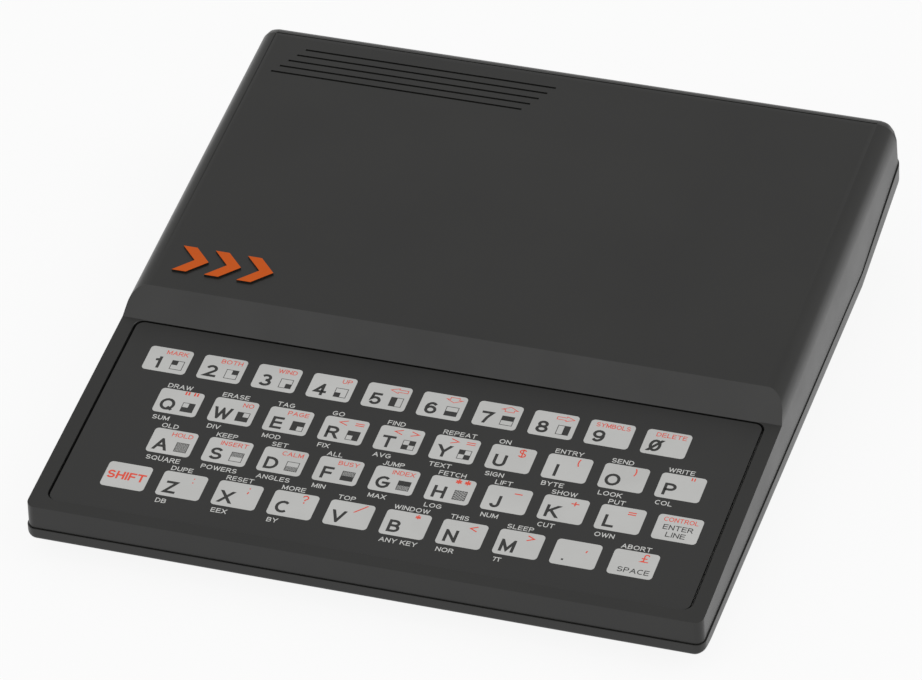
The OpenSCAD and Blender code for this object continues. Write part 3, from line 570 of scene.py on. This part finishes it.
# Each letter's pen strokes in shares of its height: points, and @ arcs by their middle, two
# radii and two angles.
STROKES = {
    "A": "0 0, .34 1, .68 0; .12 .33, .56 .33",
    "B": "0 0, 0 1, .28 1, @.28 .77 .24 .23 90 -90, 0 .54; 0 .54, .3 .54, @.3 .27 .27 .27 90 -90, 0 0",
    "C": "@.37 .5 .37 .5 48 312",
    "D": "0 0, 0 1, .22 1, @.22 .5 .42 .5 90 -90, 0 0",
    "E": ".52 1, 0 1, 0 0, .54 0; 0 .52, .48 .52",
    "F": ".5 1, 0 1, 0 0; 0 .5, .44 .5",
    "G": "@.37 .5 .37 .5 48 322, .7 .46, .4 .46",
    "H": "0 0, 0 1; .6 0, .6 1; 0 .52, .6 .52",
    "I": "0 0, 0 1",
    "J": ".42 1, .42 .26, @.21 .26 .21 .26 0 -180",
    "K": "0 0, 0 1; .58 1, 0 .4; .2 .6, .62 0",
    "L": "0 1, 0 0, .5 0",
    "M": "0 0, 0 1, .36 .1, .72 1, .72 0",
    "N": "0 0, 0 1, .6 0, .6 1",
    "O": "@.38 .5 .38 .5 0 360",
    "P": "0 0, 0 1, .3 1, @.3 .73 .27 .27 90 -90, 0 .46",
    "Q": "@.38 .5 .38 .5 0 360; .44 .24, .74 -.06",
    "R": "0 0, 0 1, .3 1, @.3 .74 .27 .26 90 -90, 0 .48; .32 .48, .6 0",
    "S": "@.3 .745 .27 .255 20 270, @.3 .25 .3 .25 80 -160",
    "T": "0 1, .64 1; .32 1, .32 0",
    "U": "0 1, 0 .3, @.3 .3 .3 .3 180 360, .6 1",
    "V": "0 1, .33 0, .66 1",
    "W": "0 1, .24 0, .47 .92, .7 0, .94 1",
    "X": "0 0, .62 1; 0 1, .62 0",
    "Y": "0 1, .32 .44, .64 1; .32 .5, .32 0",
    "Z": ".02 1, .56 1, 0 0, .58 0",
    "1": "0 .74, .28 .78; .28 1, .28 0",
    "2": "@.28 .72 .27 .28 170 -40, 0 0, .58 0",
    "3": "@.27 .75 .25 .25 150 -90; @.28 .25 .29 .25 90 -160",
    "4": ".42 0, .42 1, 0 .27, .6 .27",
    "5": ".52 1, .1 1, .05 .48, @.28 .31 .27 .31 125 -155",
    "6": "@.29 .31 .28 .31 0 360; @.31 .5 .31 .5 42 190",
    "7": "0 1, .56 1, .32 .5, .2 0",
    "8": "@.29 .76 .23 .24 0 360; @.29 .26 .28 .26 0 360",
    "9": "@.28 .69 .28 .31 0 360; @.26 .5 .31 .5 -138 10",
    "0": "@.28 .5 .28 .5 0 360; -.04 0, .6 1",
    "$": "@.3 .745 .27 .255 20 270, @.3 .25 .3 .25 80 -160; .3 -.1, .3 1.1",
    "(": "@.5 .5 .32 .66 130 230",
    ")": "@-.2 .5 .32 .66 50 -50",
    '"': "0 1, 0 .66; .24 1, .24 .66",
    "*": ".25 1, .25 .5; .03 .62, .47 .88; .03 .88, .47 .62",
    "-": "0 .5, .6 .5",
    "+": "0 .5, .6 .5; .3 .2, .3 .8",
    "=": "0 .64, .6 .64; 0 .36, .6 .36",
    ":": "0 .74, 0 .6; 0 .2, 0 .06",
    ";": "0 .74, 0 .6; 0 .2, -.04 -.1",
    "?": "@.24 .74 .23 .25 175 -50, .25 .44, .25 .28; .25 .12, .25 0",
    "/": "0 0, .9 1",
    "<": ".62 .84, 0 .5, .62 .16",
    ">": "0 .84, .62 .5, 0 .16",
    ",": ".04 .16, -.03 -.12",
    "£": "@.38 .73 .2 .27 15 200, .2 .12, 0 0, .58 0; .02 .44, .42 .44",
    "π": "0 .9, 1.1 .9; .34 .9, .2 0; .78 .9, .86 0",
    ".": "0 .12, 0 0"}


def pen_stroke(bm, points, width, lift):
    """Adds one stroke of the pen, as a flat bar that follows the points."""
    closed = (Vector(points[0]) - Vector(points[-1])).length < 1e-3
    bar = bmesh.new()
    line = [bar.verts.new((x, y, INK[0])) for x, y in points[:len(points) - closed]]
    pairs = list(zip(line, line[1:] + line[:1]))
    edges = [bar.edges.new(pair) for pair in (pairs if closed else pairs[:-1])]
    raised = bmesh.ops.extrude_edge_only(bar, edges=edges)
    new = [v for v in raised["geom"] if isinstance(v, bmesh.types.BMVert)]
    bmesh.ops.translate(bar, verts=new, vec=(0, 0, INK[1] - INK[0] + lift))
    bmesh.ops.recalc_face_normals(bar, faces=bar.faces)
    bar.normal_update()
    for v, away in [(v, v.normal * v.calc_shell_factor()) for v in bar.verts]:
        v.co -= away * width / 2
    bar.normal_update()
    bmesh.ops.solidify(bar, geom=bar.faces[:], thickness=-width)
    bmesh.ops.recalc_face_normals(bar, faces=bar.faces)
    add(bm, bar)


def draw_out(points, pen, cap):
    """A stroke with its free ends cut square at the sides, and run past the line and the caps."""
    points = [Vector(p) for p in points]
    if (points[0] - points[-1]).length > 1e-3:
        for end, inner in ((0, 1), (-1, -2)):
            away = (points[end] - points[inner]).normalized()
            if abs(away.y) < 0.1:
                points[end] += away * pen / 2
            elif min(abs(points[end].y - pen / 2), abs(points[end].y - cap + pen / 2)) < 1e-3:
                points[end] += away * pen * 1.3
    return points


def letters(bm, text, cap, pen, x, y, side=0.0, stretch=1.0, limit=99.0, apart=0.13):
    """Adds flat letters on the baseline y, that start at x, or end there where side is 1."""
    drawn, cursor = [], 0.0
    for letter in text:
        if letter == " ":
            cursor += 0.45 * cap
            continue
        strokes = []
        for stroke in STROKES[letter].split(";"):
            points = []
            for token in stroke.split(","):
                numbers = [float(n) for n in token.replace("@", "").split()]
                if len(numbers) == 2:
                    points.append(numbers)
                    continue
                cx, cy, rx, ry, start, end = numbers
                steps = max(3, round(abs(end - start) / 24))
                for i in range(steps + 1):
                    angle = math.radians(start + (end - start) * i / steps)
                    spot = [cx + rx * math.cos(angle), cy + ry * math.sin(angle)]
                    if not points or (Vector(spot) - Vector(points[-1])).length > 0.02:
                        points.append(spot)
            strokes.append(points)
        left = min(p[0] for points in strokes for p in points)
        right = max(p[0] for points in strokes for p in points)
        for points in strokes:
            drawn.append([(cursor + pen / 2 + (px - left) * cap, pen / 2 + py * (cap - pen))
                          for px, py in points])
        cursor += (right - left) * cap + pen + apart * cap
    width = cursor - apart * cap
    stretch = min(stretch, limit / width)
    word = bmesh.new()
    for i, points in enumerate(drawn):
        spots = [(x + (px - side * width) * stretch, y + py) for px, py in draw_out(points, pen, cap)]
        pen_stroke(word, spots, pen, 0.0012 * (i % 4))
    if not set(text) & set("Q$;,()"):
        for place, outwards in ((y, -1), (y + cap, 1)):
            trim(word, (0, place, 0), (0, outwards, 0))
    add(bm, word)


def trim(bm, place, outwards):
    """Cuts off what lies past a plane, and closes the cut."""
    bmesh.ops.bisect_plane(bm, geom=bm.verts[:] + bm.edges[:] + bm.faces[:], dist=1e-5,
                           plane_co=place, plane_no=outwards, clear_outer=True)
    bmesh.ops.holes_fill(bm, edges=[e for e in bm.edges if e.is_boundary])


def mark(bm, points, line=0.0):
    """Adds a flat printed shape, or only a line along its edge."""
    face = bm.faces.new([bm.verts.new((x, y, INK[0])) for x, y in points])
    faces = [face]
    if line:
        face.normal_update()
        faces = bmesh.ops.inset_region(bm, faces=faces, thickness=line, use_boundary=True,
                                         use_even_offset=True)["faces"]
        bmesh.ops.delete(bm, geom=[face], context="FACES_ONLY")
    raised = bmesh.ops.extrude_face_region(bm, geom=faces)
    new = [v for v in raised["geom"] if isinstance(v, bmesh.types.BMVert)]
    bmesh.ops.translate(bm, verts=new, vec=(0, 0, INK[1] - INK[0]))


def box_mark(bm, x, y, line=0.0):
    mark(bm, [(x[0], y[0]), (x[1], y[0]), (x[1], y[1]), (x[0], y[1])], line)


def hatch(bm, x, y, pitch):
    """Adds slanting bars that fill a rectangle."""
    bars = bmesh.new()
    height = y[1] - y[0]
    for i in range(int((x[1] - x[0] + height) / pitch) + 1):
        foot = x[0] - height + pitch * i
        mark(bars, [(foot, y[0]), (foot + pitch * 0.55, y[0]),
                    (foot + pitch * 0.55 + height, y[1]), (foot + height, y[1])])
    for place, outwards in ((x[0], -1), (x[1], 1)):
        trim(bars, (place, 0, 0), (outwards, 0, 0))
    add(bm, bars)


BLOCK, BLOCK_AT, BLOCK_LINE = 3.15, (2.75, -1.25), 0.15


def quarters(bm, cells, pitch):
    """Adds a lined square with black (#), hatched (/) or open (.) quarters, by rows from the top."""
    half = BLOCK / 2
    x, y = BLOCK_AT
    box_mark(bm, (x - half, x + half), (y - half, y + half), BLOCK_LINE)
    inner, slit = half - BLOCK_LINE - 0.005, 0.005
    sides = [(-inner, -slit), (slit, inner)]
    if cells in ("////", "//..", "..//", "//##", "##//"):
        for cell, (a, b) in zip(cells[::2], reversed(sides)):
            if cell == "/":
                hatch(bm, (x - inner, x + inner), (y + a, y + b), pitch)
    for i, cell in enumerate(cells):
        if cell == "#":
            (a, b), (c, d) = sides[i % 2], sides[1 - i // 2]
            box_mark(bm, (x + a, x + b), (y + c, y + d))


def arrow(bm, x, y, turn, length, shaft, half, head):
    """Adds a lined arrow with its middle at x and y, that points right before its turn."""
    back, front = -length / 2, length / 2
    shape = [(back, -half), (shaft + back, -half), (shaft + back, -head), (front, 0),
             (shaft + back, head), (shaft + back, half), (back, half)]
    spin = Matrix.Rotation(math.radians(turn), 2)
    mark(bm, [Vector((x, y)) + spin @ Vector(p) for p in shape], 0.17)


# the dark letter, the quarters and the red sign of each pad, ~ for none
GLYPHS = [
    "1 #... MARK", "2 .#.. BOTH", "3 ...# WIND", "4 ..#. UP", "5 #.#. 180", "6 ..## 270", "7 ##.. 90",
    "8 .#.# 0", "9 ~ SYMBOLS", "0 ~ DELETE",
    'Q .### ""', "W #.## NO", "E ###. PAGE", "R ##.# <_=", "T .##. <_>", "Y #..# >_=", "U ~ $", "I ~ (",
    "O ~ )", 'P ~ "',
    "A //// HOLD", "S //.. INSERT", "D ..// CALM", "F //## BUSY", "G ##// INDEX", "H //// **", "J ~ -",
    "K ~ +", "L ~ =", "~ ~ CONTROL",
    "~ ~ ~", "Z ~ :", "X ~ ;", "C ~ ?", "V ~ /", "B ~ *", "N ~ <", "M ~ >", "~ ~ ,", "~ ~ £"]
print_dark = surface("print_dark", (0.018, 0.018, 0.017), (0.024, 0.024, 0.023), 0.3, (0.4, 0.5), 0.002, 90)
print_red = surface("print_red", (0.74, 0.070, 0.036), (0.82, 0.085, 0.045), 0.3, (0.4, 0.5), 0.002, 90)
for name, glyph in zip(PADS, GLYPHS):
    letter, cells, sign = glyph.split()
    dark, red = bmesh.new(), bmesh.new()
    if letter != "~":
        letters(dark, letter, 4.0, 0.74, -2.4, -3.1, 0.5)
    if cells != "~":
        quarters(dark, cells, 0.62 if name == "h" else 0.5)
    if sign in ("0", "180"):
        arrow(red, 2.4, 2.6, int(sign), 4.6, 2.3, 0.5, 0.95)
    elif sign in ("90", "270"):
        arrow(red, 2.4, 2.6, int(sign), 1.9, 0.7, 1.2, 2.3)
    elif len(sign) > 1 and sign[0].isalpha():
        letters(red, sign, 1.4, 0.19, 4.4, 2.0, 1, 1.1, 8.4)
    elif "_" in sign:
        letters(red, sign.replace("_", " "), 2.5, 0.25, 4.4, 1.35, 1, 1.25)
    elif sign in ('""', "**"):
        for x in (1.2, 3.4):
            letters(red, sign[0], 3.1, 0.4, x, 0.9, 0.5)
    elif sign != "~":
        letters(red, sign, 2.7, 0.32, 2.25, 1.0, 0.5)
    if name == "shift":
        letters(red, "SHIFT", 2.6, 0.5, 0, -1.3, 0.5, apart=0.1)
    if name == "enter":
        letters(dark, "ENTER", 1.6, 0.22, 0.1, -0.65, 0.5, 1.1)
        letters(dark, "LINE", 1.6, 0.22, 0.1, -3.0, 0.5, 1.15)
    if name == "space":
        letters(dark, "SPACE", 1.6, 0.22, 0.6, -3.0, 0.5, 1.15)
    if name == "period":
        box_mark(dark, (-2.9, -2.4), (-2.6, -2.1))
    x, y = PADS[name]
    for ink, colour, material in ((dark, "dark", print_dark), (red, "red", print_red)):
        if not ink.faces:
            ink.free()
            continue
        bmesh.ops.recalc_face_normals(ink, faces=ink.faces)
        bmesh.ops.translate(ink, verts=ink.verts, vec=(x, y, 0))
        piece(to_deck(ink), f"{colour}_{name}", "key_" + name, material)

# ---- White legends
# Beside the pads the sheet is printed in white: a word over most pads and one under them.

OVER_PADS = [
    "", "DRAW ERASE TAG GO FIND REPEAT ON ENTRY SEND WRITE",
    "OLD KEEP SET ALL JUMP FETCH LIFT SHOW PUT", "- DUPE RESET MORE TOP WINDOW THIS SLEEP - ABORT"]
UNDER_PADS = [
    "", "SUM DIV MOD FIX AVG TEXT SIGN BYTE LOOK COL",
    "SQUARE POWERS ANGLES MIN MAX LOG NUM CUT OWN", "- DB EEX BY - ANY_KEY NOR π"]
legend = bmesh.new()
for (x, y), over, under in zip(ROW_STARTS, OVER_PADS, UNDER_PADS):
    for words, start, baseline in ((over, -4.4, PAD_D / 2 + 0.35), (under, -4.5, -PAD_D / 2 - 2.45)):
        for i, word in enumerate(words.split()):
            if word != "-":
                letters(legend, word.replace("_", " "), 1.45, 0.21, x + COLUMN * i + start, y + baseline,
                        stretch=1.12)
print_white = surface("print_white", (0.60, 0.60, 0.585), (0.66, 0.66, 0.645), 0.3, (0.4, 0.5), 0.002, 90)
piece(to_deck(legend), "white_legends", "root", print_white)

# ---- Circuit board
# The board is green glass-epoxy with tinned tracks, screwed up into the roof. Its rear tongue
# comes to the slot in the case's back, with two rows of tinned contacts and a keying cut.


def striped(name, base, line, pitch, thick, bump):
    """A surface of one colour with fine straight lines of another, such as a board's tracks."""
    made = surface(name, base, [1.15 * c for c in base], 0.6, (0.3, 0.42), bump)
    nodes, links = made.node_tree.nodes, made.node_tree.links
    tracks = nodes.new("ShaderNodeTexBrick")
    tracks.inputs["Scale"].default_value = 1 / (pitch * MM)
    tracks.inputs["Mortar Size"].default_value = thick
    tracks.inputs["Mortar"].default_value = (1, 1, 1, 1)
    tracks.inputs["Color1"].default_value = tracks.inputs["Color2"].default_value = (0, 0, 0, 1)
    tracks.inputs["Brick Width"].default_value, tracks.inputs["Row Height"].default_value = 6.5, 1.0
    links.new(nodes["Texture Coordinate"].outputs["Object"], tracks.inputs["Vector"])
    both = nodes.new("ShaderNodeMix")
    both.data_type = "RGBA"
    colour = nodes["Principled BSDF"].inputs["Base Color"]
    links.new(tracks.outputs["Color"], both.inputs["Factor"])
    links.new(colour.links[0].from_socket, both.inputs["A"])
    both.inputs["B"].default_value = (*line, 1)
    links.new(both.outputs["Result"], colour)
    return made


dress("circuit_board", striped("board_green", (0.012, 0.10, 0.035), (0.03, 0.22, 0.07), 1.9, 0.12, 0.01))
tinned = surface("tinned", (0.52, 0.52, 0.50), (0.68, 0.68, 0.66), 0.5, (0.22, 0.38), 0.01, 60, metal=1.0)
contacts = bmesh.new()
for i in range(23):
    if i != 2:
        for side in ((9.6, 9.63), (7.97, 8.0)):
            x = -21.7 + 2.54 * i
            block(contacts, (x, x + 1.75), (77.6, 85.6), side)
round_edges(contacts, [e for e in contacts.edges if abs(e.verts[0].co.z - e.verts[1].co.z) > 0.02], 0.2, 2)
piece(contacts, "edge_contacts", "root", tinned)

# ---- Parts on the board
# Plastic and ceramic parts with tinned legs stand in the board: four chips, three of them in
# sockets, a tinned modulator can, three jack sockets, a regulator on a flat sink, and small parts.

socket_black = surface("socket_black", (0.014, 0.014, 0.014), (0.02, 0.02, 0.019), 0.4, (0.4, 0.5), 0.01)
chip_black = surface("chip_black", (0.017, 0.017, 0.018), (0.026, 0.026, 0.027), 0.25, (0.5, 0.62), 0.02)
dress("ic_sockets", socket_black)
for chip in ("processor_chip", "logic_array_chip", "memory_chips"):
    dress(chip, chip_black)
dress("tv_modulator", tinned)
dress("jack_sockets", surface("jack_black", (0.012, 0.012, 0.012), (0.018, 0.018, 0.017),
                              0.3, (0.25, 0.35), 0.006))
dress("voltage_regulator", chip_black)
dress("heat_sink", surface("sink_aluminium", (0.55, 0.55, 0.56), (0.66, 0.66, 0.67),
                           0.8, (0.3, 0.45), 0.015, 50, metal=1.0))
dress("capacitors", surface("capacitor_blue", (0.018, 0.06, 0.22), (0.026, 0.08, 0.28),
                            0.5, (0.25, 0.35), 0.005))
dress("resistors_and_diodes", surface("resistor_tan", (0.40, 0.24, 0.11), (0.50, 0.31, 0.16),
                                      0.5, (0.35, 0.5), 0.01, 400))
dress("ceramic_resonator", surface("resonator_orange", (0.48, 0.13, 0.015), (0.56, 0.17, 0.02),
                                   0.4, (0.3, 0.4), 0.008))

# ---- Lower case
# The lower shell is the same black ABS. Its sides slope in under a narrow rim, its front
# slopes up like a boat's nose, and a pocket in its left side has the socket holes.

RIM_HALF = 83.5
RIM_R = (2.6, 3.9)                # the rim's corners in plan, front and rear
RIM_EDGE = [Vector((-REAR_Y, 5.4)), Vector((50, 13.8)), Vector((REAR_Y, 22.7))]
UNDERCUT = math.tan(math.radians(28))
FLOOR_Z = 1.5
NOSE = Vector((-75, FLOOR_Z)), RIM_EDGE[0]
BACK = Vector((86, FLOOR_Z)), RIM_EDGE[2]
LOWER_OUTLINE = [meet(*NOSE, *SEAM[:2]), NOSE[0], BACK[0], meet(*BACK, *SEAM[1:]), SEAM[1]]
REBATE_IN, REBATE_DROP = 1.15, 1.2
SHANK_Z, BOSS_TOP = 3.8, 6.1      # the screw heads bear at the first height


def lower_form(wall, raise_by):
    """The lower shell's solid form, set in by a wall, its open top raised."""
    bm = slab(set_in(LOWER_OUTLINE, [wall] * 3 + [-raise_by] * 2), RIM_HALF + 8)
    for side in (-1, 1):
        for a, b in (RIM_EDGE[:2], RIM_EDGE[1:]):
            slope = (b.y - a.y) / (b.x - a.x)
            outwards = Vector((side, slope * UNDERCUT, -UNDERCUT)).normalized()
            on_plane = Vector((side * RIM_HALF, *a)) - outwards * wall
            bmesh.ops.bisect_plane(bm, geom=bm.verts[:] + bm.edges[:] + bm.faces[:],
                                   dist=1e-4, plane_co=on_plane, plane_no=outwards,
                                   clear_outer=True)
            bmesh.ops.contextual_create(bm, geom=[e for e in bm.edges if e.is_boundary])
    bmesh.ops.recalc_face_normals(bm, faces=bm.faces)
    for rear, radius in ((False, RIM_R[0]), (True, RIM_R[1])):
        corner = []
        for e in bm.edges:
            flank, end = sorted((f.normal for f in e.link_faces), key=lambda n: -abs(n.x))
            slanted = abs(flank.x) > 0.8 and abs(end.x) < 0.1 and -0.99 < end.z < 0.5
            if slanted and (end.y > 0) == rear:
                corner.append(e)
        round_edges(bm, corner, radius - wall, 8)
    half = RIM_HALF - wall
    plan = plate((-half, half), (wall - REAR_Y, REAR_Y - wall), (-5, 60),
                 *[size - wall for size in RIM_R], 10)
    return carve(bm, plan, "INTERSECT")


def on_rim(v):
    """Whether a point lies on the rim's upright outer face."""
    size = RIM_R[v.y > 0]
    x, y = size - (RIM_HALF - abs(v.x)), size - (REAR_Y - abs(v.y))
    return abs((math.hypot(x, y) if min(x, y) > 0 else max(x, y)) - size) < 0.03


lower = lower_form(0, 0)
on_floor = lambda v: abs(v.z - FLOOR_Z) < 0.01
rim_top = lambda v: on_rim(v) and above_seam(v) > -0.02
FLOOR_EDGE_R, RIM_TOP_R, RIM_EDGE_R = 0.8, 0.12, 0.6
lower = finish_edges(lower, [
    (level(lower, on_floor), FLOOR_EDGE_R), (level(lower, rim_top), RIM_TOP_R),
    (level(lower, on_rim), RIM_EDGE_R)], 4)

kept = bmesh.new()
block(kept, (OUT_X, PLATE_X[1]), (BAY_Y[0] - LINER, BAY_Y[1] + LINER), (BAY_Z[0] - LINER, 60))
for x, y in CASE_SCREWS:
    rod(kept, (x, y, -1), 4.5, BOSS_TOP + 1)
lower = carve(lower, carve(lower_form(WALL, 5), kept))
port_plate = bmesh.new()
block(port_plate, PLATE_X, (BAY_Y[0] + 0.2, BAY_Y[1] - 0.2), (BAY_Z[0] - 1, BAY_Z[1] - 0.1))
lower = carve(lower, port_plate, "UNION")

rebate = lower_form(REBATE_IN, 5)
under = slab([Vector((-110, -10)), Vector((110, -10))] + [p - Vector((0, REBATE_DROP)) for p in (
    meet(*SEAM[1:], Vector((110, 0)), Vector((110, 1))), SEAM[1],
    meet(*SEAM[:2], Vector((-110, 0)), Vector((-110, 1))))], 100)
rebate = carve(rebate, under)
solid = bmesh.new()
block(solid, (OUT_X, PLATE_X[1] + 0.01), (BAY_Y[0] - LINER, BAY_Y[1] + LINER), (0, 60))
block(solid, (-100, 100), (-100, -75), (0, 60))
lower = carve(lower, carve(rebate, solid))

cuts = bmesh.new()
block(cuts, (OUT_X, PLATE_X[0]), BAY_Y, (BAY_Z[0], 60))
block(cuts, *CARD_SLOT, (4.6, 60))
lower = carve(lower, cuts)
cuts = bmesh.new()
for y, radius in ((20, 3.5), (32, 3.5), (44, 3.5), (62, 5.8)):      # three jacks and the aerial
    rod(cuts, (PLATE_X[0] - 1, y, 15.5), radius, 4, "X")
for x, y in CASE_SCREWS:
    rod(cuts, (x, y, -1), 3.1, SHANK_Z + 1)
lower = carve(lower, cuts)
cuts = bmesh.new()
for x, y in CASE_SCREWS:
    rod(cuts, (x, y, SHANK_Z - 1), 1.75, 5)
lower = carve(lower, cuts)
piece(lower, "case_bottom", "root", case_black, ["lower_case"])

# ---- Screws
# Seven pan-head self-tapping screws with cross recesses, of plated steel: five come up through
# the lower case and two hold the board. Their threads cut their own way into the bosses.

SCREW_LEN, THREAD_R, CORE_R, PITCH = 8.0, 1.45, 1.15, 0.95
profile = [(0, -2.0), (1.7, -2.0), (2.35, -1.85), (2.72, -1.45), (2.8, -0.9), (2.8, 0), (CORE_R, 0)]
for i in range(7):
    z = 0.35 + PITCH * i
    profile += [(CORE_R, z), (THREAD_R, z + 0.36), (THREAD_R, z + 0.44), (CORE_R, z + 0.8)]
profile += [(CORE_R, 7.1), (0.35, SCREW_LEN), (0, SCREW_LEN)]
screw = bmesh.new()
points = [screw.verts.new((r, 0, z)) for r, z in profile]
turned = points + [screw.edges.new(pair) for pair in zip(points, points[1:])]
bmesh.ops.spin(screw, geom=turned, cent=(0, 0, 0), axis=(0, 0, 1), angle=2 * math.pi,
               steps=24, use_merge=True)
bmesh.ops.remove_doubles(screw, verts=screw.verts, dist=1e-4)
bmesh.ops.recalc_face_normals(screw, faces=screw.faces)
cross = bmesh.new()
block(cross, (-1.6, 1.6), (-0.32, 0.32), (-3, -1.0))
upright = bmesh.new()
block(upright, (-0.32, 0.32), (-1.6, 1.6), (-3, -1.0))
screw = carve(screw, carve(cross, upright, "UNION"))
screws = bmesh.new()
for places, z in ((CASE_SCREWS, SHANK_Z), (BOARD_SCREWS, 8.0)):
    for i, (x, y) in enumerate(places):
        one = screw.copy()
        turn = Matrix.Rotation(0.7 * i, 4, "Z")        # each screw stops at an angle of its own
        bmesh.ops.transform(one, matrix=Matrix.Translation((x, y, z)) @ turn, verts=one.verts)
        add(screws, one)
screw.free()
steel = surface("plated_steel", (0.50, 0.50, 0.48), (0.62, 0.62, 0.60),
                0.4, (0.25, 0.4), 0.01, 200, metal=1.0)
piece(screws, "case_and_board_screws", "root", steel, ["screws"])

# ---- Feet
# Four soft black rubber discs are glued under the lower case's corners, and hide three of the
# screws. Their lower edges are rounded.

rubber = surface("foot_rubber", (0.017, 0.017, 0.017), (0.024, 0.024, 0.023),
                 0.5, (0.62, 0.78), 0.03, 60, specular=0.35)
FOOT_R = 6
feet = bmesh.new()
for x, y in ((66, -66), (62, 79)):
    for side in (-1, 1):
        rod(feet, (side * x, y, 0), FOOT_R, FLOOR_Z)
round_edges(feet, level(feet, lambda co: co.z < 0.01), 0.45, 3)
round_edges(feet, level(feet, lambda co: co.z > FLOOR_Z - 0.01), 0.12, 1)
piece(feet, "foot_pads", "root", rubber, ["rubber_feet"])
